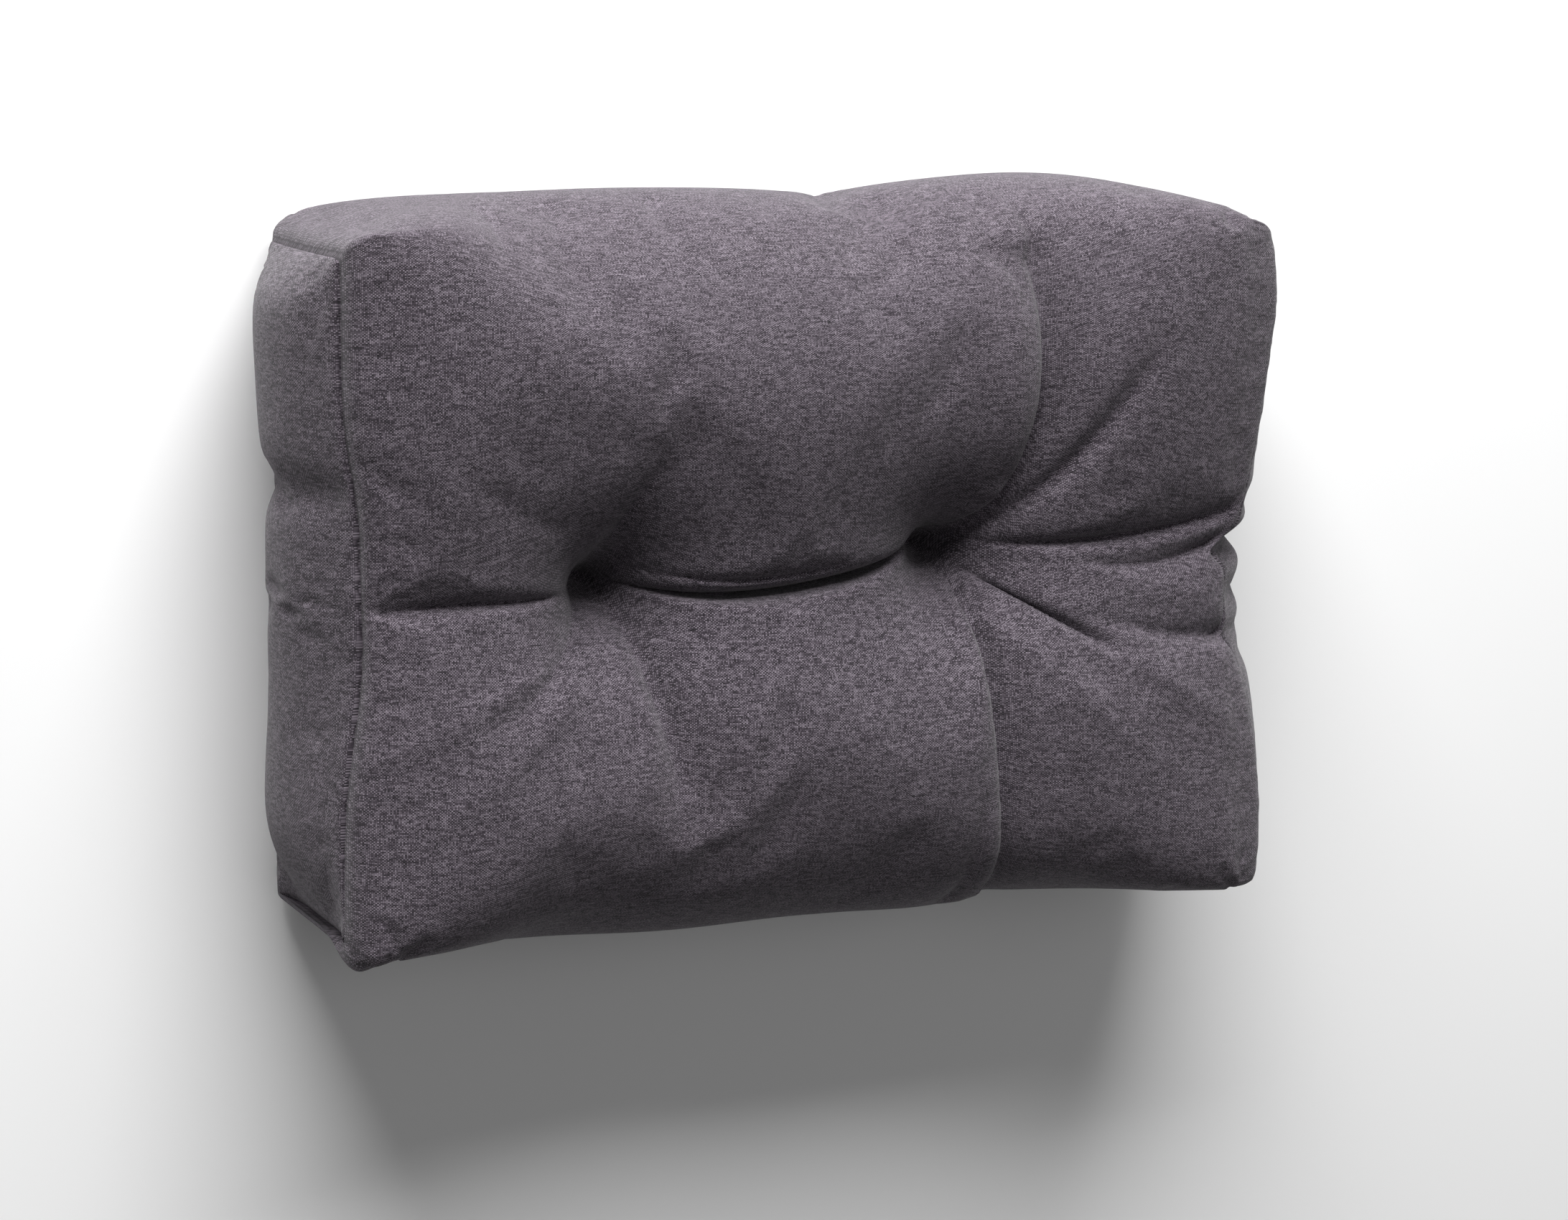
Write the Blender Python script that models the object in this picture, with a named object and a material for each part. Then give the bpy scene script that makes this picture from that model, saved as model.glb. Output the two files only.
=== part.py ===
"""Pallet cushion: a filled, tufted back cushion for pallet seating, lying on its back.

One strip of cloth wraps the front, the top, the back and the bottom, and a bulging end panel
closes each end. Two tufts pull the front and the back together, and folds run out from them.
Metres, +Z up: +X along the width, +Y towards the top edge, +Z out of the front. The origin is
under the middle of the cushion, on the surface that it lies on.
"""
from collections import namedtuple

import bmesh
import bpy
import numpy as np

MM = 0.001
NEARLY_NOTHING = 1e-5

# Seams, from corner to corner
SEAM_WIDTH = 585 * MM
SEAM_HEIGHT = 397 * MM
SEAM_DEPTH = 144 * MM
BACK_SEAM_RISE = 18 * MM

# How far the filling swells each side out past its seams
FRONT_SWELL = 36 * MM
BACK_SWELL = 24 * MM
TOP_SWELL = 32 * MM
BOTTOM_SWELL = 8 * MM
END_SWELL = 38 * MM

# Exponent of the rounded cross-section: 2 is an ellipse, and a large value is a rectangle
ROUNDNESS_MIDDLE = 3.3
ROUNDNESS_END = 40.0
ROUNDNESS_REACH = 12

# How the swell dies away towards the ends: (1 - across ** SHARPNESS) ** STEEPNESS
SWELL_SHARPNESS = 6
SWELL_STEEPNESS = 0.5
END_FULLNESS = 3.5

# In the tables below, sizes are in millimetres, x runs along the width from the middle, and y runs
# up the front from half-way between its corners and on over the top edge.

# Plump places between the folds. A negative height is a hollow.
Lobe = namedtuple("Lobe", "x y height half_width half_height")
LOBES = (
    Lobe(-30, 105, 7, 85, 65),
    Lobe(195, 120, 4, 60, 70),
    Lobe(150, 300, 7, 80, 110),
    Lobe(280, 300, -10, 40, 110),
    Lobe(15, 300, -6, 26, 110),
    Lobe(0, -100, 5, 80, 60),
)
LOBE_FADE = 60 * MM

# The tufts, as pits in the front and in the back
Tuft = namedtuple("Tuft", "x y front_depth back_depth")
TUFTS = (
    Tuft(-128, 3, 74, 24),
    Tuft(88, 14, 74, 24),
)
TUFT_CORE = 17
TUFT_DISH = 62
TUFT_DISH_SHARE = 0.30

# Folds in the front, each an arc through three places. Left and right are as seen along the arc.
Fold = namedtuple("Fold", "x1 y1 x2 y2 x3 y3 start_depth end_depth left_width right_width")
FOLDS = (
    Fold(-128, 2, -35, -6, 86, 18, 46, 46, 20, 26),
    Fold(-132, 2, -205, 2, -284, -2, 34, 10, 15, 13),
    Fold(-134, 8, -129, 50, -112, 94, 28, 0, 15, 15),
    Fold(-136, -2, -165, -26, -200, -56, 22, 0, 13, 13),
    Fold(-124, -8, -100, -72, -78, -170, 18, 3, 24, 24),
    Fold(88, 22, 127, 88, 130, 215, 36, 9, 16, 20),
    Fold(94, 24, 150, 68, 202, 132, 26, 0, 15, 15),
    Fold(92, 18, 176, 18, 272, 46, 30, 12, 14, 14),
    Fold(160, 8, 215, 5, 270, 19, 4, 12, 12, 12),
    Fold(92, 8, 130, -18, 190, -54, 30, 3, 12, 16),
    Fold(160, -21, 215, -36, 268, -43, 3, 12, 12, 12),
    Fold(94, -2, 104, -84, 118, -212, 28, 9, 15, 19),
)
FOLD_SOFTNESS = 1.25
FOLD_STEPS = 24

# Where the folds draw the end seams in. The left end is -1, and the right end is 1.
Pull = namedtuple("Pull", "end y depth half_length")
SEAM_PULLS = (
    Pull(-1, -20, 9, 110),
    Pull(1, 0, 20, 95),
    Pull(1, 14, 12, 18),
    Pull(1, -44, 8, 16),
)
PULL_REACH = 5

# Dents in the bulging end panels, which run across the panel's depth
Dent = namedtuple("Dent", "end y depth half_length")
END_DENTS = (
    Dent(-1, 56, 7, 14),
    Dent(1, 16, 8, 16),
    Dent(1, -36, 6, 14),
)

# Divisions of the surface, closer together where the folds gather
CELLS_ACROSS = 50
CELLS_UP = 34
CELLS_DEEP = 10
UP_CROWDING = 1.25

CLOTH_COLOR = (0.105, 0.090, 0.107, 1.0)
CLOTH_ROUGHNESS = 0.9


def clear_scene():
    """Remove every object of the scene."""
    for item in list(bpy.data.objects):
        bpy.data.objects.remove(item, do_unlink=True)


def cloth_material():
    """Matt woven polyester in charcoal."""
    material = bpy.data.materials.new("charcoal woven cloth")
    material.use_nodes = True
    shader = material.node_tree.nodes["Principled BSDF"]
    shader.inputs["Base Color"].default_value = CLOTH_COLOR
    shader.inputs["Roughness"].default_value = CLOTH_ROUGHNESS
    shader.inputs["Metallic"].default_value = 0.0
    return material


def cut_box():
    """A cube from -1 to 1, cut by planes into the cells that the surface is shaped from."""
    box = bmesh.new()
    bmesh.ops.create_cube(box, size=2.0)
    for axis, cells, crowding in ((0, CELLS_ACROSS, 1.0), (1, CELLS_UP, UP_CROWDING), (2, CELLS_DEEP, 1.0)):
        normal = [0.0, 0.0, 0.0]
        normal[axis] = 1.0
        for step in range(1, cells):
            place = 2.0 * step / cells - 1.0
            point = [0.0, 0.0, 0.0]
            point[axis] = np.sign(place) * abs(place) ** crowding
            everything = box.verts[:] + box.edges[:] + box.faces[:]
            bmesh.ops.bisect_plane(box, geom=everything, dist=1e-6, plane_co=point, plane_no=normal)
    return box


def filled_box(a, b, c):
    """Place x, y, up, outward normal, and y along the cloth, of box points a, b, c from -1 to 1.

    The cross-section is a superellipse, nearly a rectangle at the end seams and round in the
    middle. A point inside an end face keeps its share of the way from the middle to the seam.
    """
    swell = (1.0 - np.abs(a) ** SWELL_SHARPNESS).clip(0.0) ** SWELL_STEEPNESS
    reach = np.maximum(np.maximum(np.abs(b), np.abs(c)), NEARLY_NOTHING)
    exponent = ROUNDNESS_MIDDLE + (ROUNDNESS_END - ROUNDNESS_MIDDLE) * np.abs(a) ** ROUNDNESS_REACH
    to_edge = np.abs(b / reach) ** exponent + np.abs(c / reach) ** exponent
    shrink = np.maximum(to_edge, NEARLY_NOTHING) ** (-1.0 / exponent)
    half_height = SEAM_HEIGHT / 2 + np.where(b > 0, TOP_SWELL, BOTTOM_SWELL) * swell
    half_depth = SEAM_DEPTH / 2 + np.where(c > 0, FRONT_SWELL, BACK_SWELL) * swell
    y = half_height * b * shrink
    up = half_depth * c * shrink
    inside_end = reach < 1.0 - NEARLY_NOTHING
    bulge = END_SWELL * (1 - np.abs(b) ** END_FULLNESS) * (1 - c ** 2) * inside_end
    x = a * SEAM_WIDTH / 2 + np.sign(a) * bulge
    slope_y = np.sign(b) * np.abs(b * shrink) ** (exponent - 1) / half_height
    slope_z = np.sign(c) * np.abs(c * shrink) ** (exponent - 1) / half_depth
    normal = np.stack([np.where(inside_end, np.sign(a), 0), slope_y, slope_z], 1)
    normal[inside_end, 1:] = 0.0
    normal /= np.linalg.norm(normal, axis=1, keepdims=True)
    crest = SEAM_DEPTH / 2 + FRONT_SWELL * swell
    along = y + np.sign(y) * (crest - up).clip(0.0)
    return x, y, up, normal, along


def lobe_height(x, along):
    """Height of the plump places, each a smooth hill."""
    total = np.zeros(len(x))
    for lobe in LOBES:
        across = (x / MM - lobe.x) / lobe.half_width
        upward = (along / MM - lobe.y) / lobe.half_height
        total += lobe.height * MM * np.exp(-across ** 2 - upward ** 2)
    return total


def arc_points(fold):
    """Points along a fold's arc, a quadratic curve that passes through its three places."""
    start = np.array((fold.x1, fold.y1)) * MM
    middle = np.array((fold.x2, fold.y2)) * MM
    end = np.array((fold.x3, fold.y3)) * MM
    control = 2 * middle - (start + end) / 2
    t = np.linspace(0, 1, FOLD_STEPS + 1)[:, None]
    return (1 - t) ** 2 * start + 2 * t * (1 - t) * control + t ** 2 * end


def fold_depth(x, along, fold):
    """Depth of one fold: full on its arc, and dying away to each side as exp(-(d / w) ** softness)."""
    points = arc_points(fold)
    nearest = np.full(len(x), np.inf)
    depth = np.zeros(len(x))
    for i in range(FOLD_STEPS):
        step = points[i + 1] - points[i]
        away_x = x - points[i, 0]
        away_y = along - points[i, 1]
        t = ((away_x * step[0] + away_y * step[1]) / (step @ step)).clip(0, 1)
        distance = np.hypot(away_x - t * step[0], away_y - t * step[1])
        on_left = step[0] * away_y - step[1] * away_x > 0
        width = np.where(on_left, fold.left_width, fold.right_width) * MM
        share = (i + t) / FOLD_STEPS
        deepest = (fold.start_depth + (fold.end_depth - fold.start_depth) * share) * MM
        here = deepest * np.exp(-(distance / width) ** FOLD_SOFTNESS)
        depth = np.where(distance < nearest, here, depth)
        nearest = np.minimum(nearest, distance)
    return depth


def tuft_depth(x, y, tuft, depth):
    """Depth of one tuft: a narrow core in a wide, shallow dish."""
    away = np.hypot(x / MM - tuft.x, y / MM - tuft.y)
    core = (1 - TUFT_DISH_SHARE) * np.exp(-(away / TUFT_CORE) ** FOLD_SOFTNESS)
    dish = TUFT_DISH_SHARE * np.exp(-(away / TUFT_DISH) ** 2)
    return depth * MM * (core + dish)


def front_relief(x, along):
    """Depth of all folds and tufts on the front. Where they cross, the deeper one counts most."""
    depths = [fold_depth(x, along, fold) for fold in FOLDS]
    depths += [tuft_depth(x, along, tuft, tuft.front_depth) for tuft in TUFTS]
    return np.cbrt(sum(depth ** 3 for depth in depths))


def seam_draw(side, y):
    """How far in the end seam of a side, -1 or 1, is drawn at y."""
    total = np.zeros(len(y))
    for pull in SEAM_PULLS:
        share = np.exp(-((y / MM - pull.y) / pull.half_length) ** 2)
        total += np.where(side == pull.end, pull.depth * MM * share, 0.0)
    return total


def end_dent(side, y):
    """Depth of the dents in an end panel."""
    total = np.zeros(len(y))
    for dent in END_DENTS:
        share = np.exp(-((y / MM - dent.y) / dent.half_length) ** 2)
        total += np.where(side == dent.end, dent.depth * MM * share, 0.0)
    return total


def shape_cushion(box):
    """Move the cut box's points to the filled cushion's surface, with its tufts and folds."""
    a, b, c = np.array([vert.co[:] for vert in box.verts]).T
    x, y, up, normal, along = filled_box(a, b, c)
    wrap = np.abs(normal[:, 0]) < 0.5
    front_share = (0.5 + up / LOBE_FADE).clip(0, 1)
    relief = (front_relief(x, along) - lobe_height(x, along)) * front_share
    for tuft in TUFTS:
        relief += tuft_depth(x, y, tuft, tuft.back_depth) * (1 - front_share)
    relief = np.where(wrap, relief, end_dent(np.sign(a), y))
    place = np.stack([x, y, up], 1) - normal * relief[:, None]
    place[:, 0] -= np.sign(a) * np.abs(a) ** PULL_REACH * seam_draw(np.sign(a), y)
    place[:, 2] = (place[:, 2] + BACK_SEAM_RISE + SEAM_DEPTH / 2).clip(0.0)
    place[:, :2] -= (place[:, :2].min(axis=0) + place[:, :2].max(axis=0)) / 2
    for vert, spot in zip(box.verts, place):
        vert.co = spot


def join_flat_cells(box):
    """Join the cells of the back that lie flat on the surface into one face."""
    flat = [face for face in box.faces if max(abs(vert.co.z) for vert in face.verts) < NEARLY_NOTHING]
    edges = {edge for face in flat for edge in face.edges}
    inner = [edge for edge in edges if all(face in flat for face in edge.link_faces)]
    bmesh.ops.dissolve_edges(box, edges=inner, use_verts=True)


def build_cushion():
    """The filled cushion, one closed body in its own collection."""
    box = cut_box()
    shape_cushion(box)
    join_flat_cells(box)
    bmesh.ops.recalc_face_normals(box, faces=box.faces)
    mesh = bpy.data.meshes.new("cushion")
    box.to_mesh(mesh)
    box.free()
    mesh.shade_smooth()
    mesh.materials.append(cloth_material())
    cushion = bpy.data.objects.new("cushion", mesh)
    collection = bpy.data.collections.new("pallet cushion")
    bpy.context.scene.collection.children.link(collection)
    collection.objects.link(cushion)


clear_scene()
build_cushion()
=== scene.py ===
from collections import namedtuple

import bpy
import numpy as np
from mathutils import Matrix, Vector


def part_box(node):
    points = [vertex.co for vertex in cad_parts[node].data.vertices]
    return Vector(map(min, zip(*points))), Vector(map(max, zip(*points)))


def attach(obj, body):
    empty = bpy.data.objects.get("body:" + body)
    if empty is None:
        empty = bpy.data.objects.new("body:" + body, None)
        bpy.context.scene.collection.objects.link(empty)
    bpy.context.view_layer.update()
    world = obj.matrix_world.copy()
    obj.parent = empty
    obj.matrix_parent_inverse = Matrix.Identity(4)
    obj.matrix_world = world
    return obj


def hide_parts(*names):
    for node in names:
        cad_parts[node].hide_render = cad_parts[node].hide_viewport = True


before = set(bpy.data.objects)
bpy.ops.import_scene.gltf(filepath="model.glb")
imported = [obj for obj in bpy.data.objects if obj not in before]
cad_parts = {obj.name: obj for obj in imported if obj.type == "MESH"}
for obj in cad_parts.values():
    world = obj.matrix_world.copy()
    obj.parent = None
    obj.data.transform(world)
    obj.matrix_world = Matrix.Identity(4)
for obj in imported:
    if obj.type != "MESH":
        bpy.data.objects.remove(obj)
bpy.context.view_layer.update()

# Cover of the cushion
# The real cover is cut from charcoal melange polyester: one strip wraps the front, the top, the back
# and the bottom, and a rectangle is sewn in at each end. It is filled tight with fibre, and two tufts
# pull the front and the back together.

MM = 0.001

# Seams from corner to corner, before the sunk seam draws the ends in by 5 mm
SEAM_WIDTH = 590 * MM
SEAM_HEIGHT = 397 * MM
SEAM_DEPTH = 144 * MM
BACK_SEAM_RISE = 18 * MM
MIDDLE_UP = BACK_SEAM_RISE + SEAM_DEPTH / 2

# How far the filling swells each side out past its seams
FRONT_SWELL = 36 * MM
BACK_SWELL = 24 * MM
TOP_SWELL = 32 * MM
BOTTOM_SWELL = 8 * MM
END_SWELL = 27 * MM
SEAM_MIDDLE_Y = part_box("cushion")[0][1] + SEAM_HEIGHT / 2 + BOTTOM_SWELL

# Exponents: how late the swell falls off along the width, and how square the cross-section is. An
# exponent of 2 is an ellipse, and a large one is a rectangle.
SWELL_EXPONENT = 6
ROUNDNESS_MIDDLE = 3.3
ROUNDNESS_END = 40
ROUNDNESS_EXPONENT = 7
PANEL_EXPONENT = 8

# In the tables sizes are millimetres. x runs along the width from the middle, and y runs up the front
# from half-way between its corners and on over the top edge.

# Plump places between the folds. A negative height is a hollow.
Lobe = namedtuple("Lobe", "x y height half_width half_height")
LOBES = (
    Lobe(-30, 112, 5, 85, 62),
    Lobe(195, 120, 4, 60, 70),
    Lobe(150, 300, 6, 80, 110),
    Lobe(280, 300, -7, 40, 110),
    Lobe(30, 300, -6, 30, 110),
    Lobe(0, -95, 6, 80, 55),
    Lobe(-20, -182, 8, 230, 42),
    Lobe(-286, -214, 9, 13, 16),
    Lobe(-205, 300, -7, 90, 110),
    Lobe(-80, -290, 6, 80, 80),
    Lobe(90, -290, 6, 65, 80),
)
# Over this height, half-way up the cushion, the front's relief fades out towards the back.
FRONT_FADE = 60 * MM

# The tufts are narrow pits, each in a wide dish that has a share of its depth.
Tuft = namedtuple("Tuft", "x y front_depth back_depth")
TUFTS = (
    Tuft(-128, 0, 96, 24),
    Tuft(88, 12, 96, 24),
)
PIT_RADIUS = 18
DISH_RADIUS = 55
DISH_SHARE = 0.27

# A fold runs through three places, and the cloth on its left side leans over it.
Fold = namedtuple("Fold", "x1 y1 x2 y2 x3 y3 start_depth end_depth left_width right_width lean")
LEFT_SLOT = Fold(-281, -4, -205, -2, -134, -5, 5, 26, 7, 3.5, 0)
MAIN_CREASE = Fold(-128, 2, -30, -4, 86, 18, 42, 42, 7, 2.6, 4)
RIGHT_SLOT = Fold(92, 19, 176, 19, 278, 31, 26, 8, 7, 4, 2)
FOLDS = (
    LEFT_SLOT,
    MAIN_CREASE,
    RIGHT_SLOT,
    Fold(-122, 14, -60, 8, 10, 13, 16, 9, 6, 3, 2),
    Fold(-131, 8, -121, 46, -98, 90, 38, 3, 14, 15, 0),
    Fold(-122, -10, -109, -52, -93, -118, 32, 6, 20, 9, 0),
    Fold(88, 20, 131, 84, 130, 215, 38, 12, 8, 24, 4),
    Fold(96, 17, 152, 61, 204, 132, 36, 2, 15, 7, 1),
    Fold(160, 8, 215, 2, 280, 11, 3, 10, 9, 3, 1),
    Fold(92, 7, 136, -19, 190, -49, 34, 6, 8, 2.4, 4),
    Fold(168, -24, 220, -39, 284, -44, 3, 11, 10, 3, 1),
    Fold(122, -262, 106, -90, 94, -2, 8, 32, 5, 15, 4),
)
FOLD_SOFTNESS = 1.15
FOLD_STEPS = 24

# Between the two rows of filling the whole front sinks in a wide trough, which ends at the end seams.
TROUGH = Fold(-290, -2, -20, 0, 280, 20, 15, 21, 72, 64, 0)
TROUGH_SOFTNESS = 1.5

# Creases and ridges that are small enough to be added to the rest. A ridge has a negative depth.
WRINKLES = (
    Fold(-294, 106, -284, 101, -272, 96, 3, 0, 5, 5, 0),
    Fold(-290, 84, -272, 68, -256, 57, 3, 1, 5, 6, 0),
    Fold(114, 60, 125, 82, 145, 114, 7, 1, 7, 5, 0),
    Fold(-196, -68, -158, -34, -136, -8, 2, 13, 9, 4, 0),
    Fold(-116, -24, -106, -66, -93, -150, 10, 1, 14, 8, 0),
    Fold(-118, 22, -104, 56, -84, 98, 10, 2, 15, 15, 0),
    Fold(182, 212, 178, 190, 174, 168, 3, 0, 8, 8, 0),
    Fold(188, -47, 225, -68, 262, -93, -4, -2, 8, 9, 0),
    Fold(112, -30, 150, -62, 204, -112, -4, -1, 8, 9, 0),
    Fold(-182, -42, -232, -66, -286, -88, -3, -1, 8, 7, 0),
    Fold(-160, -52, -196, -90, -246, -124, -3, -1, 9, 8, 0),
    Fold(-168, 40, -214, 62, -250, 104, 3, 0, 9, 12, 0),
    Fold(98, -145, 96, -190, 97, -262, 2, 6, 6, 8, 0),
    Fold(104, 222, 114, 204, 122, 182, 6, 2, 8, 10, 0),
    Fold(-118, -62, -124, -88, -118, -114, 3, 0, 9, 9, 0),
    Fold(-293, -197, -287, -203, -279, -211, 7, 2, 4, 4, 0),
    Fold(-262, 236, -266, 262, -260, 300, 3, 2, 9, 9, 0),
    Fold(-202, 205, -199, 232, -203, 290, 1, 3, 8, 9, 0),
    Fold(-158, 215, -160, 240, -156, 300, 1, 3, 10, 8, 0),
    Fold(-92, 210, -90, 240, -95, 300, 1, 3, 9, 9, 0),
    Fold(-22, 220, -20, 245, -25, 300, 1, 2, 8, 8, 0),
    Fold(48, 215, 45, 245, 50, 300, 1, 3, 8, 9, 0),
    Fold(206, 225, 210, 250, 204, 300, 1, 3, 9, 9, 0),
)

# The folds pull each end seam in at some heights, on the left (-1) or the right (1). The middle of the
# panel stays out by a share of the pull, and has dents of its own. A negative depth stands out.
Nip = namedtuple("Nip", "end y depth half_length")
SEAM_PULLS = (
    Nip(-1, -30, 11.5, 65),
    Nip(-1, 50, 7, 45),
    Nip(1, -20, 26, 60),
    Nip(1, 8, 14, 9),
    Nip(1, -46, 5, 7),
    Nip(1, 62, 4, 32),
    Nip(1, 165, -6.5, 40),
    Nip(1, -160, -2.5, 40),
)
PULL_EXPONENT = 5
PANEL_STAYS = 0.6
END_DENTS = (
    Nip(-1, 61, 7, 14),
    Nip(-1, 170, -4, 30),
    Nip(-1, -100, 3, 60),
    Nip(-1, -185, 12, 35),
    Nip(1, 34, 4, 8),
    Nip(1, 12, 6, 8),
    Nip(1, -22, 6, 9),
    Nip(1, -60, 3, 10),
)

# The end panels are sewn in with a plain seam, which sinks between the two cloths and puckers them in
# waves of three lengths. Before it is blown up, all but the sewn edge lies in by the slack.
START_SLACK = 4 * MM
SEAM_SINK = 2.8 * MM
SEAM_SINK_WIDTH = 2.8 * MM
PUCKER_HEIGHT = 0.9 * MM
PUCKER_REACH = 13 * MM
PUCKER_LENGTHS = (13.7 * MM, 21.4 * MM, 33.1 * MM)
PUCKER_TURN = 1e4


def swell_at(a):
    """How full the swell is at the share a of the half width: the square root of 1 less a^6."""
    return np.sqrt((1 - np.abs(a) ** SWELL_EXPONENT).clip(0))


def superellipse_wrap(a, b, c):
    """Place, outward normal and y along the cloth of the box point a, b, c, each from -1 to 1.

    The cross-section is a superellipse, |y/h|^n + |z/d|^n = 1, which is round in the middle and almost
    a rectangle at the end seams. An end panel bulges by (1 - b^8)(1 - c^2) of its swell.
    """
    swell = swell_at(a)
    reach = np.maximum(np.maximum(np.abs(b), np.abs(c)), 1e-6)
    n = ROUNDNESS_MIDDLE + (ROUNDNESS_END - ROUNDNESS_MIDDLE) * np.abs(a) ** ROUNDNESS_EXPONENT
    shrink = np.maximum(np.abs(b / reach) ** n + np.abs(c / reach) ** n, 1e-9) ** (-1 / n)
    half_height = SEAM_HEIGHT / 2 + np.where(b > 0, TOP_SWELL, BOTTOM_SWELL) * swell
    half_depth = SEAM_DEPTH / 2 + np.where(c > 0, FRONT_SWELL, BACK_SWELL) * swell
    y, up = half_height * b * shrink, half_depth * c * shrink
    inside_end = reach < 1 - 1e-6
    bulge = END_SWELL * (1 - b ** PANEL_EXPONENT) * (1 - c ** 2) * inside_end
    x = a * SEAM_WIDTH / 2 + np.sign(a) * bulge
    slope_y = np.sign(b) * np.abs(b * shrink) ** (n - 1) / half_height * ~inside_end
    slope_z = np.sign(c) * np.abs(c * shrink) ** (n - 1) / half_depth * ~inside_end
    normal = np.stack([np.sign(a) * inside_end, slope_y, slope_z], -1)
    normal /= np.linalg.norm(normal, axis=-1, keepdims=True)
    crest = SEAM_DEPTH / 2 + FRONT_SWELL * swell
    along = y + np.sign(y) * (crest - up).clip(0)
    return x, y, up, normal, along


def fold_relief(x, along, fold, softness=FOLD_SOFTNESS):
    """Depth of one fold, and how far its left side leans over it, as x and y.

    The depth falls off as exp(-(d / width)^softness) with the distance d from the fold's arc, and the
    lean as q exp(1 - q) with q = d / width, and as 4 s (1 - s) with the share s of the way along it.
    The arc is the quadratic curve through the three places, taken as short straight steps.
    """
    start, middle, end = (np.array(fold[i:i + 2], float) for i in (0, 2, 4))
    control = 2 * middle - (start + end) / 2
    t = np.linspace(0, 1, FOLD_STEPS + 1)[:, None]
    points = (1 - t) ** 2 * start + 2 * t * (1 - t) * control + t ** 2 * end
    nearest, depth = np.full(x.shape, np.inf), np.zeros(x.shape)
    lean = np.zeros((*x.shape, 2))
    for i in range(FOLD_STEPS):
        step = points[i + 1] - points[i]
        away_x, away_y = x / MM - points[i, 0], along / MM - points[i, 1]
        t = ((away_x * step[0] + away_y * step[1]) / (step @ step)).clip(0, 1)
        distance = np.hypot(away_x - t * step[0], away_y - t * step[1])
        on_left = step[0] * away_y - step[1] * away_x > 0
        q = distance / np.where(on_left, fold.left_width, fold.right_width)
        share = (i + t) / FOLD_STEPS
        deepest = fold.start_depth + (fold.end_depth - fold.start_depth) * share
        leaning = fold.lean * q * np.exp(1 - q) * 4 * share * (1 - share) * on_left
        across_step = np.array([step[1], -step[0]]) / np.hypot(*step)
        closer = distance < nearest
        depth = np.where(closer, deepest * np.exp(-q ** softness), depth)
        lean = np.where(closer[..., None], leaning[..., None] * across_step, lean)
        nearest = np.minimum(nearest, distance)
    return depth * MM, lean * MM


def tuft_depth(x, y, tuft, depth):
    """Depth of a tuft: a narrow pit exp(-(d/r)^s) in a wide dish exp(-(d/R)^2)."""
    away = np.hypot(x / MM - tuft.x, y / MM - tuft.y)
    pit = (1 - DISH_SHARE) * np.exp(-(away / PIT_RADIUS) ** FOLD_SOFTNESS)
    return depth * MM * (pit + DISH_SHARE * np.exp(-(away / DISH_RADIUS) ** 2))


def lobe_height(x, along, lobe):
    """Height of a lobe: a smooth hill exp(-dx^2 - dy^2), with both distances as shares of its size."""
    across, upward = (x / MM - lobe.x) / lobe.half_width, (along / MM - lobe.y) / lobe.half_height
    return lobe.height * MM * np.exp(-across ** 2 - upward ** 2)


def nipped(nips, side, y):
    """Sum of the smooth nips on the point's own side, each depth exp(-(distance / half length)^2)."""
    away = [(y / MM - nip.y) / nip.half_length for nip in nips]
    return sum((side == nip.end) * nip.depth * MM * np.exp(-d ** 2) for nip, d in zip(nips, away))


def seam_relief(a, b, c, up, along):
    """How far the end seam sinks, g exp(-d / w), and its puckers, waves that fade as exp(-d / r)."""
    from_end = (1 - np.abs(a)) * SEAM_WIDTH / 2
    from_edge = np.minimum((1 - np.abs(b)) * SEAM_HEIGHT / 2, (1 - np.abs(c)) * SEAM_DEPTH / 2)
    away = np.maximum(from_end, from_edge)
    sink = SEAM_SINK * np.exp(-away / SEAM_SINK_WIDTH)
    place = along + np.sign(a) * up
    waves = [np.sin(2 * np.pi * place / length + length * PUCKER_TURN) for length in PUCKER_LENGTHS]
    return sink, PUCKER_HEIGHT * sum(waves) / len(waves) * np.exp(-away / PUCKER_REACH)


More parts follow.
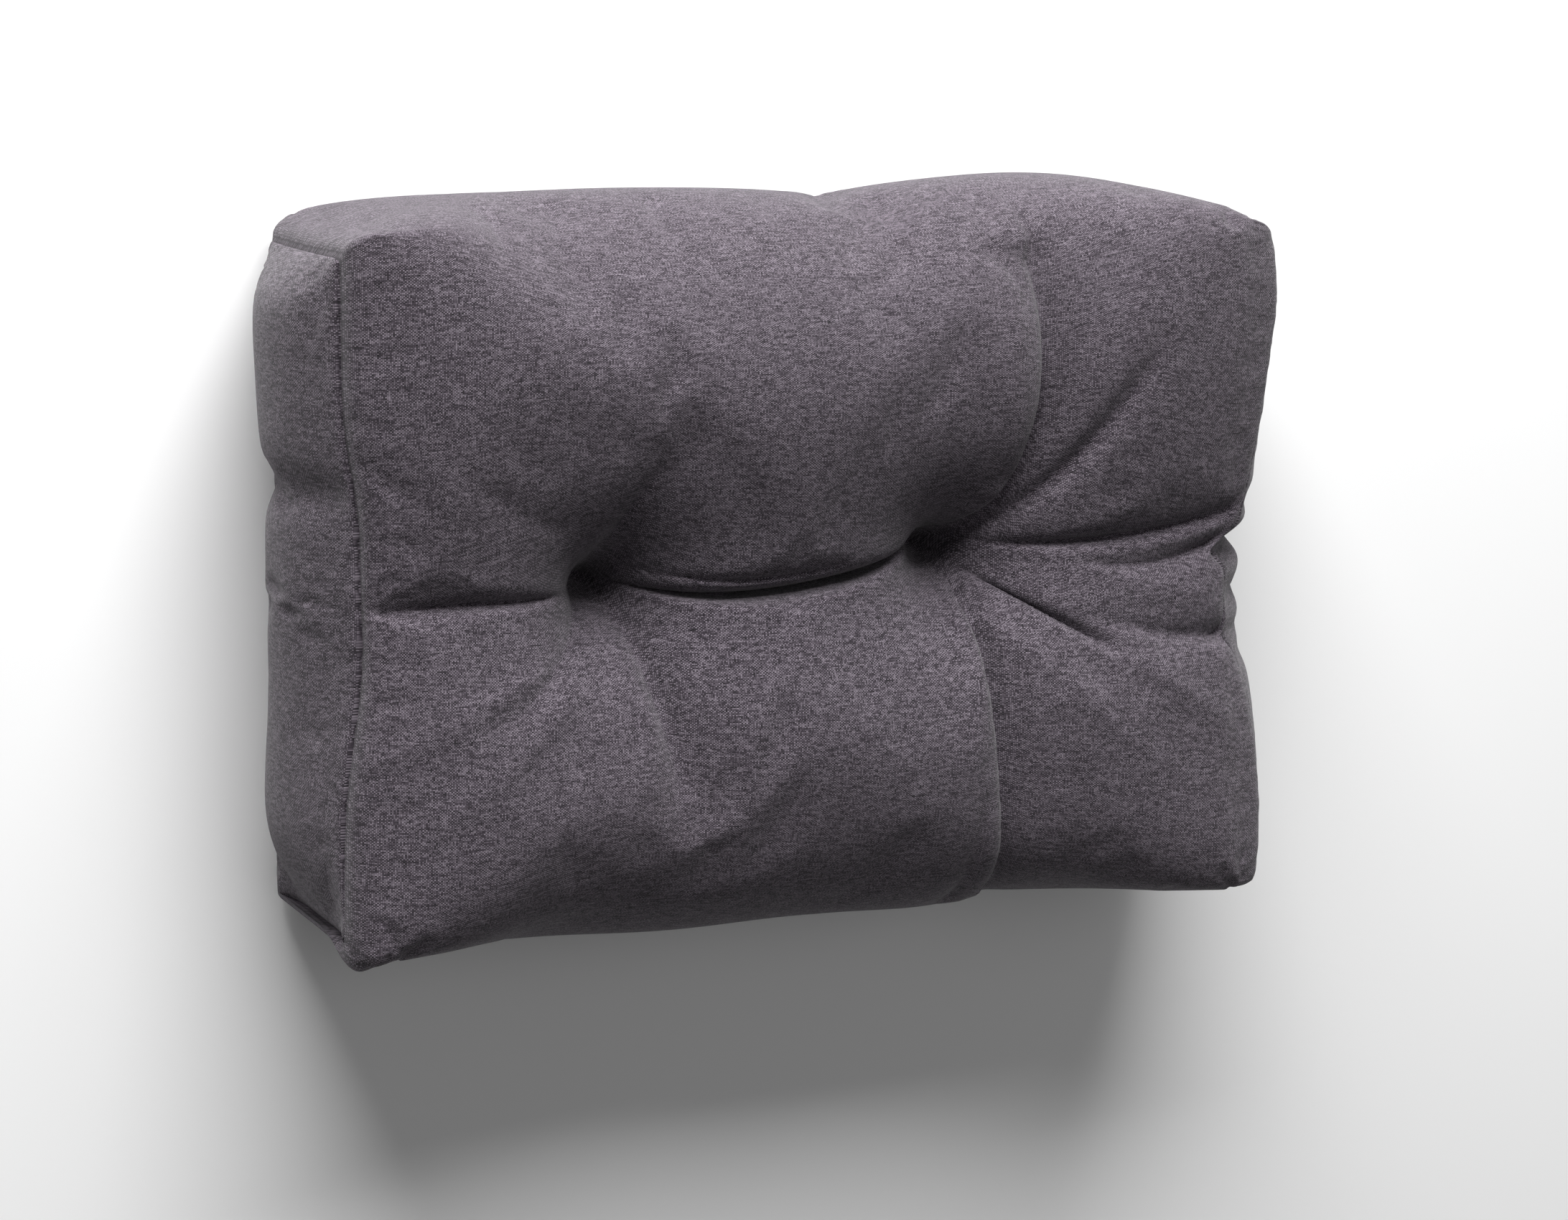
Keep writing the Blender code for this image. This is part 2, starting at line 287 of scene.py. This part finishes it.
def filled_form(a, b, c, fine=True):
    """Points of the filled cushion for arrays of box points, and how deep each lies in a fold or tuft.

    Depths join as the cube root of the sum of their cubes, so that crossing folds don't add up, and go
    down the normal. Wrinkles, puckers and the sunk seam are left out where fine is false.
    """
    x, y, up, normal, along = superellipse_wrap(a, b, c)
    on_wrap = np.abs(normal[..., 0]) < 0.5
    front = (0.5 + up / FRONT_FADE).clip(0, 1)

    depths, leans = zip(*(fold_relief(x, along, fold) for fold in FOLDS))
    depths = list(depths) + [tuft_depth(x, along, tuft, tuft.front_depth) for tuft in TUFTS]
    pressed = np.cbrt(sum(depth ** 3 for depth in depths)) * front
    for tuft in TUFTS:
        pressed += tuft_depth(x, y, tuft, tuft.back_depth) * (1 - front)
    relief = pressed + sum(fold_relief(x, along, fold)[0] for fold in WRINKLES) * front * fine
    relief += fold_relief(x, along, TROUGH, TROUGH_SOFTNESS)[0] * front * swell_at(a)
    for lobe in LOBES:
        relief -= lobe_height(x, along, lobe) * np.maximum(front, normal[..., 1] ** 2)

    side = np.sign(a)
    dents = nipped(END_DENTS, side, y) * (1 - c ** 4)
    sink, pucker = seam_relief(a, b, c, up, along)
    relief = np.where(on_wrap, relief, dents) + (sink + pucker) * fine
    relief += START_SLACK * np.where(on_wrap, 1 - np.abs(a) ** 8, (1 - b ** 4) * (1 - c ** 4))
    place = np.stack([x, y, up], -1) - normal * relief[..., None]
    place[..., :2] += sum(leans) * (front * on_wrap)[..., None]
    pull = nipped(SEAM_PULLS, side, y)
    pull *= np.where(on_wrap, 1, 1 - PANEL_STAYS * (1 - b ** 4) * (1 - c ** 2))
    place[..., 0] -= side * (np.abs(a) ** PULL_EXPONENT * pull + sink * on_wrap * fine)
    place[..., 1] += SEAM_MIDDLE_Y
    place[..., 2] = (place[..., 2] + MIDDLE_UP).clip(0)
    return place, np.where(on_wrap, pressed, 0)


# Cells of the rough grid, which are smaller by the seams and by the middle crease
CELLS_ACROSS, CELLS_UP, CELLS_DEEP = 120, 70, 20
END_CROWDING, MIDDLE_CROWDING = 0.35, 0.55


def crowd_ends(t):
    """Places from -1 to 1, closer at both ends: t + k sin(pi t) / pi."""
    return t + END_CROWDING * np.sin(np.pi * t) / np.pi


def crowd_middle(t):
    """Places from -1 to 1, closer in the middle and at both ends: t - k sin(2 pi t) / (2 pi)."""
    return t - MIDDLE_CROWDING * np.sin(2 * np.pi * t) / (2 * np.pi)


def cover_grid(fineness):
    """Box points and faces of the wrap and of both end panels, and their point numbers on own grids.

    The wrap has a column of points for each place across, and a ring of points in each column: up the
    bottom, the front, the top and the back. An end panel shares its edge with the first or last ring.
    """
    across = crowd_ends(np.linspace(-1, 1, CELLS_ACROSS * fineness + 1))
    upward = crowd_middle(np.linspace(-1, 1, CELLS_UP * fineness + 1))
    deep = crowd_ends(np.linspace(-1, 1, CELLS_DEEP * fineness + 1))
    low_b, low_c = np.ones(len(upward) - 1), np.ones(len(deep) - 1)
    ring_b = np.concatenate([-low_c, upward[:-1], low_c, upward[:0:-1]])
    ring_c = np.concatenate([deep[:-1], low_b, deep[:0:-1], -low_b])
    columns, ring, ups, deeps = len(across), len(ring_b), len(upward), len(deep)
    wrap = np.arange(columns * ring).reshape(columns, ring)
    i, j = np.meshgrid(np.arange(columns - 1), np.arange(ring), indexing="ij")
    k = (j + 1) % ring
    faces = [np.stack([wrap[i, j], wrap[i + 1, j], wrap[i + 1, k], wrap[i, k]], -1).reshape(-1, 4)]
    panels, used = [], wrap.size
    for end in (0, columns - 1):
        panel, edge = np.zeros((ups, deeps), int), wrap[end]
        panel[0, :] = edge[:deeps]
        panel[:, -1] = edge[deeps - 1:deeps + ups - 1]
        panel[-1, ::-1] = edge[deeps + ups - 2:2 * deeps + ups - 2]
        panel[1:, 0] = edge[2 * deeps + ups - 3:][::-1]
        inner = (ups - 2) * (deeps - 2)
        panel[1:-1, 1:-1] = used + np.arange(inner).reshape(ups - 2, deeps - 2)
        used += inner
        quads = [panel[:-1, :-1], panel[:-1, 1:], panel[1:, 1:], panel[1:, :-1]]
        quads = np.stack(quads, -1).reshape(-1, 4)
        faces.append(quads if end == 0 else quads[:, ::-1])
        panels.append(panel)
    box_points = np.zeros((used, 3))
    box_points[wrap, 0] = across[:, None]
    box_points[wrap, 1], box_points[wrap, 2] = ring_b, ring_c
    for side, panel in zip((-1, 1), panels):
        box_points[panel, 0], box_points[panel, 1], box_points[panel, 2] = side, upward[:, None], deep
    return box_points, wrap, panels, faces


def mesh_object(name, points, faces):
    """A mesh object from an array of points and an array of four-cornered faces."""
    mesh = bpy.data.meshes.new(name)
    mesh.from_pydata(points.tolist(), [], faces.tolist())
    mesh.update()
    obj = bpy.data.objects.new(name, mesh)
    bpy.context.scene.collection.objects.link(obj)
    return obj


# The cloth is blown up against the tufts, the deep folds, the sewn edges and the flat back, which hold.
HOLD_FROM, HOLD_FULL = 1 * MM, 15 * MM
SEWN_REACH = 5 * MM
FLOOR_REACH = 0.5 * MM
HOLD_LEVELS = 40
HOLD_STIFFNESS = 50
CLOTH_STIFFNESS = 15
BENDING_STIFFNESS = 5
CLOTH_SPARE = 0.008
POINT_MASS = 0.3
PRESSURE = 5
SOLVER_STEPS = 6
LAST_FRAME = 20
MOST_MOVE = 8 * MM


def blown_up(points, faces, held):
    """Moves of the points when the closed cloth is blown up. The held ones resist by their share.

    A move of the length d is cut down to most tanh(d / most), so that it stays under the most.
    """
    cloth = mesh_object("blown_up_cover", points, faces)
    group = cloth.vertex_groups.new(name="held")
    for level in range(1, HOLD_LEVELS + 1):
        at_level = np.flatnonzero(np.round(held * HOLD_LEVELS) == level)
        group.add(at_level.tolist(), level / HOLD_LEVELS, "REPLACE")
    modifier = cloth.modifiers.new("Cloth", "CLOTH")
    settings = modifier.settings
    settings.quality = SOLVER_STEPS
    settings.mass = POINT_MASS
    settings.tension_stiffness = settings.compression_stiffness = CLOTH_STIFFNESS
    settings.bending_stiffness = BENDING_STIFFNESS
    settings.vertex_group_mass = group.name
    settings.pin_stiffness = HOLD_STIFFNESS
    settings.shrink_min = -CLOTH_SPARE
    settings.use_pressure = True
    settings.uniform_pressure_force = PRESSURE
    settings.effector_weights.gravity = 0
    modifier.collision_settings.use_collision = False
    modifier.point_cache.frame_end = LAST_FRAME
    for number in range(1, LAST_FRAME + 1):
        bpy.context.scene.frame_set(number)
    blown = cloth.evaluated_get(bpy.context.evaluated_depsgraph_get()).data
    places = np.zeros(len(blown.vertices) * 3)
    blown.vertices.foreach_get("co", places)
    moves = places.reshape(-1, 3) - points
    bpy.data.objects.remove(cloth)
    bpy.context.scene.frame_set(1)
    length = np.linalg.norm(moves, axis=1, keepdims=True)
    return moves * MOST_MOVE * np.tanh(length / MOST_MOVE) / np.maximum(length, 1e-9)


def twice_as_fine(values, axis, closed):
    """Values with new ones in between, each from its four neighbours as (-1, 9, 9, -1) / 16."""
    rows = np.moveaxis(values, axis, 0)
    count = len(rows)
    places = np.arange(count if closed else count - 1)
    near = [(places + k) % count if closed else (places + k).clip(0, count - 1) for k in (-1, 0, 1, 2)]
    between = (9 * (rows[near[1]] + rows[near[2]]) - rows[near[0]] - rows[near[3]]) / 16
    finer = np.zeros((count + len(between), *rows.shape[1:]))
    finer[0::2], finer[1::2] = rows, between
    return np.moveaxis(finer, 0, axis)


# The finished cover has twice the cells of the rough one, which is the one that is blown up.
box_points, wrap, panels, face_groups = cover_grid(2)
cover_points, _ = filled_form(*box_points.T)
rough_box, rough_wrap, rough_panels, rough_faces = cover_grid(1)
rough_points, pressed = filled_form(*rough_box.T, fine=False)
half_sizes = np.array((SEAM_WIDTH, SEAM_HEIGHT, SEAM_DEPTH)) / 2
from_end, from_top, from_back = ((1 - np.abs(rough_box)) * half_sizes).T
sewn = np.exp(-np.maximum(from_end, np.minimum(from_top, from_back)) / SEWN_REACH)
held = np.maximum(((pressed - HOLD_FROM) / (HOLD_FULL - HOLD_FROM)).clip(0, 1), sewn)
held[rough_points[:, 2] < FLOOR_REACH] = 1
moves = blown_up(rough_points, np.concatenate(rough_faces), np.sqrt(held)) * (1 - held[:, None])
for rough, fine in zip(rough_panels, panels):
    finer = twice_as_fine(twice_as_fine(moves[rough], 0, False), 1, False)
    cover_points[fine] += finer * (np.abs(box_points[fine, 1:]).max(-1) < 1)[..., None]
cover_points[wrap] += twice_as_fine(twice_as_fine(moves[rough_wrap], 0, False), 1, True)
cover_points[:, 2] = cover_points[:, 2].clip(0)

cover = mesh_object("cushion_cover", cover_points, np.concatenate(face_groups))
cover.data.shade_smooth()
edge_ends = np.zeros(2 * len(cover.data.edges), np.int32)
cover.data.edges.foreach_get("vertices", edge_ends)
sewn_points = np.zeros(len(cover_points), bool)
sewn_points[wrap[[0, -1]]] = True
cover.data.edges.foreach_set("use_edge_sharp", sewn_points[edge_ends].reshape(-1, 2).all(1))

# The weave lies flat on each cloth. Where the cloth goes down into a fold, the extra length is added
# from the top edge down to the middle crease, and from the bottom edge up to it.
weave_x, weave_y, weave_up, _, _ = superellipse_wrap(*box_points[wrap].transpose(2, 0, 1))
round_edge = weave_up.max(1, keepdims=True) - weave_up
front_start, front_end = 2 * CELLS_DEEP, 2 * (CELLS_DEEP + CELLS_UP)
front_points = cover_points[wrap][:, front_start:front_end + 1]
flat_steps = np.abs(np.diff((weave_y - round_edge)[:, front_start:front_end + 1], axis=1))
extra = (np.linalg.norm(np.diff(front_points, axis=1), axis=-1) - flat_steps).clip(0)
extra_below, extra_above = np.zeros(wrap.shape), np.zeros(wrap.shape)
extra_below[:, front_start + 1:front_end + 1] = np.cumsum(extra, 1)
extra_above[:, front_start:front_end] = np.cumsum(extra[:, ::-1], 1)[:, ::-1]
low_v = weave_y - round_edge + extra_below
high_v = weave_y + round_edge - extra_above

# Faces below the middle line of folds take their place from the bottom edge, and the others from the
# top edge. The end panels lie a metre away in the weave, so that they don't repeat the wrap.
middle_line = (LEFT_SLOT[:2], LEFT_SLOT[2:4], MAIN_CREASE[:2], MAIN_CREASE[2:4], MAIN_CREASE[4:6],
               RIGHT_SLOT[2:4], RIGHT_SLOT[4:6])
line_x, line_y = np.array(middle_line).T * MM
columns, ring = wrap.shape
corner_j = (np.arange(ring)[:, None] + np.array([0, 0, 1, 1])) % ring
corner_i = np.arange(columns - 1)[:, None, None] + np.array([0, 1, 1, 0])
middle_y = weave_y[corner_i, corner_j].mean(-1)
below = middle_y < np.interp(weave_x[corner_i, corner_j].mean(-1), line_x, line_y)
v = np.where(below[..., None], low_v[corner_i, corner_j], high_v[corner_i, corner_j])
corner_uvs = [np.stack([weave_x[corner_i, corner_j], v], -1).reshape(-1, 2)]
for side, faces in zip((-1, 1), face_groups[1:]):
    corner_uvs.append(cover_points[faces.ravel()][:, [2, 1]] + side)
uv_map = cover.data.uv_layers.new(name="weave")
uv_map.data.foreach_set("uv", np.concatenate(corner_uvs).ravel())

# Woven melange polyester: dark and light fibres are spun together, so each thread changes tone along
# its length, with thicker slubs along the width. In the plain weave the lighter weft and the darker
# warp show at every other crossing, as fine dots. The face is matt, with a faint sheen.
Thread = namedtuple("Thread", "along across pitch tone_length dash_length")
WEFT = Thread("X", "Y", 0.82 * MM, 5 * MM, 2.6 * MM)
WARP = Thread("Y", "X", 0.95 * MM, 3 * MM, 1.8 * MM)
SLUB_LENGTH, SLUB_HEIGHT = 14 * MM, 2 * MM
THREAD_HEIGHT = 0.2 * MM
DARK_THREAD, MIDDLE_THREAD, LIGHT_THREAD = "#070509", "#332c34", "#7c747d"
DARK_AT, MIDDLE_AT, LIGHT_AT = 0.38, 0.65, 0.92

# The parts that the weft's lighter tone, the painted light and shade of each round thread (lighter on
# its crest, darker in the gaps between threads), its slow changes of tone, its short dashes and the
# slubs have in the tone
WEFT_SHARE, PAINTED_CREST_LIGHT_SHARE, SLOW_SHARE, DASH_SHARE, SLUB_SHARE = 0.16, 0.2, 0.42, 0.34, 0.16

# How soon the weft gives way to the warp, how far apart two threads lie in the noise, and how far the
# dashes of the next thread are shifted
CHANGE_REACH = 0.3
THREADS_APART = 7.31
DASH_SHIFT = 0.618


def linear(hex_colour):
    """Linear red, green, blue and alpha 1 of an sRGB hex colour."""
    shares = [int(hex_colour[i:i + 2], 16) / 255 for i in (1, 3, 5)]
    return tuple(s / 12.92 if s <= 0.04045 else ((s + 0.055) / 1.055) ** 2.4 for s in shares) + (1.0,)


def add_node(tree, kind, inputs=(), **settings):
    """First output of a new node with these settings. An input is a plain value or a socket to link."""
    made = tree.nodes.new(kind)
    for key, value in settings.items():
        setattr(made, key, value)
    for socket, value in inputs.items() if isinstance(inputs, dict) else enumerate(inputs):
        if isinstance(value, bpy.types.NodeSocket):
            tree.links.new(value, made.inputs[socket])
        else:
            made.inputs[socket].default_value = value
    return made.outputs[0]


melange = bpy.data.materials.new("woven_melange_polyester")
melange.use_nodes = True
tree = melange.node_tree
weave = add_node(tree, "ShaderNodeUVMap", uv_map="weave")
axes = add_node(tree, "ShaderNodeSeparateXYZ", [weave]).node.outputs
blotches = {"Scale": 1.0, "Detail": 1.0, "Roughness": 0.6}

# Waves across the threads, their slow changes of tone, and a random tone for each dash, for both ways
waves, slow_tones, dash_tones = [], [], []
for thread in (WARP, WEFT):
    place = add_node(tree, "ShaderNodeMath", [axes[thread.across], thread.pitch], operation="DIVIDE")
    turn = add_node(tree, "ShaderNodeMath", [place, np.pi], operation="MULTIPLY")
    waves.append(add_node(tree, "ShaderNodeMath", [turn], operation="SINE"))
    number = add_node(tree, "ShaderNodeMath", [place], operation="FLOOR")
    row = add_node(tree, "ShaderNodeMath", [number, THREADS_APART], operation="MULTIPLY")
    slow = add_node(tree, "ShaderNodeMath", [axes[thread.along], thread.tone_length], operation="DIVIDE")
    slow_place = add_node(tree, "ShaderNodeCombineXYZ", {thread.along: slow, thread.across: row})
    slow_tones.append(add_node(tree, "ShaderNodeTexNoise", {"Vector": slow_place, **blotches},
                               noise_dimensions="2D"))
    dash = add_node(tree, "ShaderNodeMath", [axes[thread.along], thread.dash_length], operation="DIVIDE")
    shifted = add_node(tree, "ShaderNodeMath", [row, DASH_SHIFT, dash], operation="MULTIPLY_ADD")
    piece = add_node(tree, "ShaderNodeMath", [shifted], operation="FLOOR")
    dash_place = add_node(tree, "ShaderNodeCombineXYZ", [piece, row])
    dash_tones.append(add_node(tree, "ShaderNodeTexWhiteNoise", {"Vector": dash_place},
                               noise_dimensions="2D"))

# Where the product of the waves is above zero the weft lies on top, and elsewhere the warp does.
crossing = add_node(tree, "ShaderNodeMath", waves, operation="MULTIPLY")
# Painted light and shade of the weave: each thread is lighter on its crest and darker in the gaps
# between threads.
painted_crest_light = add_node(tree, "ShaderNodeMath", [crossing], operation="ABSOLUTE")
weft_on_top = add_node(tree, "ShaderNodeMapRange",
                       {"Value": crossing, "From Min": -CHANGE_REACH, "From Max": CHANGE_REACH})
slow_tone = add_node(tree, "ShaderNodeMix", dict(zip(("Factor", "A", "B"), (weft_on_top, *slow_tones))))
dash_tone = add_node(tree, "ShaderNodeMix", dict(zip(("Factor", "A", "B"), (weft_on_top, *dash_tones))))
bright_dash = add_node(tree, "ShaderNodeMath", [dash_tone], operation="SQRT")
slub_x = add_node(tree, "ShaderNodeMath", [axes["X"], SLUB_LENGTH], operation="DIVIDE")
slub_y = add_node(tree, "ShaderNodeMath", [axes["Y"], SLUB_HEIGHT], operation="DIVIDE")
slub_place = add_node(tree, "ShaderNodeCombineXYZ", [slub_x, slub_y])
slubs = add_node(tree, "ShaderNodeTexNoise", {"Vector": slub_place, **blotches}, noise_dimensions="2D")

tone = 0.0
for pattern, share in ((weft_on_top, WEFT_SHARE), (painted_crest_light, PAINTED_CREST_LIGHT_SHARE), (slow_tone, SLOW_SHARE),
                       (bright_dash, DASH_SHARE), (slubs, SLUB_SHARE)):
    tone = add_node(tree, "ShaderNodeMath", [pattern, share, tone], operation="MULTIPLY_ADD")
colour = add_node(tree, "ShaderNodeValToRGB", [tone])
ramp = colour.node.color_ramp.elements
ramp[0].position, ramp[1].position = DARK_AT, LIGHT_AT
ramp[0].color, ramp[1].color = linear(DARK_THREAD), linear(LIGHT_THREAD)
ramp.new(MIDDLE_AT).color = linear(MIDDLE_THREAD)
bump = add_node(tree, "ShaderNodeBump", {"Strength": 0.5, "Distance": THREAD_HEIGHT, "Height": tone})

surface = tree.nodes["Principled BSDF"].inputs
tree.links.new(colour, surface["Base Color"])
tree.links.new(bump, surface["Normal"])
surface["Roughness"].default_value = 0.92
surface["IOR"].default_value = 1.5
surface["Specular IOR Level"].default_value = 0.25
surface["Sheen Weight"].default_value = 0.12
surface["Sheen Roughness"].default_value = 0.6
cover.data.materials.append(melange)

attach(cover, "root")
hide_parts("cushion")

# Floor, camera and light
# A pale matt studio floor, and a camera at the photo's angle to the cushion's face. One large soft light
# stands beyond the top edge, as the overhead light does in the photo, with little other light.

FLOOR_SIDE = 12.0
floor = mesh_object("floor", np.array([(-1, -1, 0), (1, -1, 0), (1, 1, 0), (-1, 1, 0)]) * FLOOR_SIDE / 2,
                    np.array([(0, 1, 2, 3)]))
pale = bpy.data.materials.new("pale_matt_studio_floor")
pale.use_nodes = True
pale.node_tree.nodes["Principled BSDF"].inputs["Base Color"].default_value = linear("#f4f4f4")
pale.node_tree.nodes["Principled BSDF"].inputs["Roughness"].default_value = 0.9
floor.data.materials.append(pale)

# The camera's distances are in pixels of the photo, which is 2184 wide.
PHOTO_WIDTH = 2184
FOCAL_LENGTH = 5910
SHIFT_RIGHT, SHIFT_UP = 23.5, -66.1
SENSOR_WIDTH = 36.0
CAMERA_DISTANCE = 2.584
AIM_HEIGHT = 78 * MM
VIEW_LEFT, VIEW_ABOVE, VIEW_ROLL = np.radians((22.1, 8.5, 0.56))

camera_data = bpy.data.cameras.new("camera")
camera_data.sensor_width = SENSOR_WIDTH
camera_data.lens = FOCAL_LENGTH / PHOTO_WIDTH * SENSOR_WIDTH
camera_data.shift_x = SHIFT_RIGHT / PHOTO_WIDTH
camera_data.shift_y = SHIFT_UP / PHOTO_WIDTH
camera = bpy.data.objects.new("camera", camera_data)
bpy.context.scene.collection.objects.link(camera)
bpy.context.scene.camera = camera
toward = Vector((-np.sin(VIEW_LEFT) * np.cos(VIEW_ABOVE), np.sin(VIEW_ABOVE),
                 np.cos(VIEW_LEFT) * np.cos(VIEW_ABOVE)))
right = Vector((0, 1, 0)).cross(toward).normalized()
upright = toward.cross(right)
turned_right = right * np.cos(VIEW_ROLL) + upright * np.sin(VIEW_ROLL)
turned_up = upright * np.cos(VIEW_ROLL) - right * np.sin(VIEW_ROLL)
aim = Vector((0, SEAM_MIDDLE_Y, AIM_HEIGHT))
rotation = Matrix((turned_right, turned_up, toward)).transposed().to_4x4()
camera.matrix_world = Matrix.Translation(aim + toward * CAMERA_DISTANCE) @ rotation

world = bpy.data.worlds.new("soft white studio")
world.use_nodes = True
world.node_tree.nodes["Background"].inputs["Color"].default_value = (1, 1, 1, 1)
world.node_tree.nodes["Background"].inputs["Strength"].default_value = 0.11
bpy.context.scene.world = world


def area_light(name, place, size, power):
    """A square soft light that faces the cushion."""
    data = bpy.data.lights.new(name, "AREA")
    data.size = size
    data.energy = power
    lamp = bpy.data.objects.new(name, data)
    bpy.context.scene.collection.objects.link(lamp)
    lamp.location = place
    lamp.rotation_euler = (Vector(place) - aim).to_track_quat("Z", "Y").to_euler()


area_light("key light", (-0.3, 3.0, 1.4), 2.8, 306)
area_light("fill light", (0.5, 0.2, 2.7), 1.6, 8)
bpy.context.scene.view_settings.view_transform = "Standard"
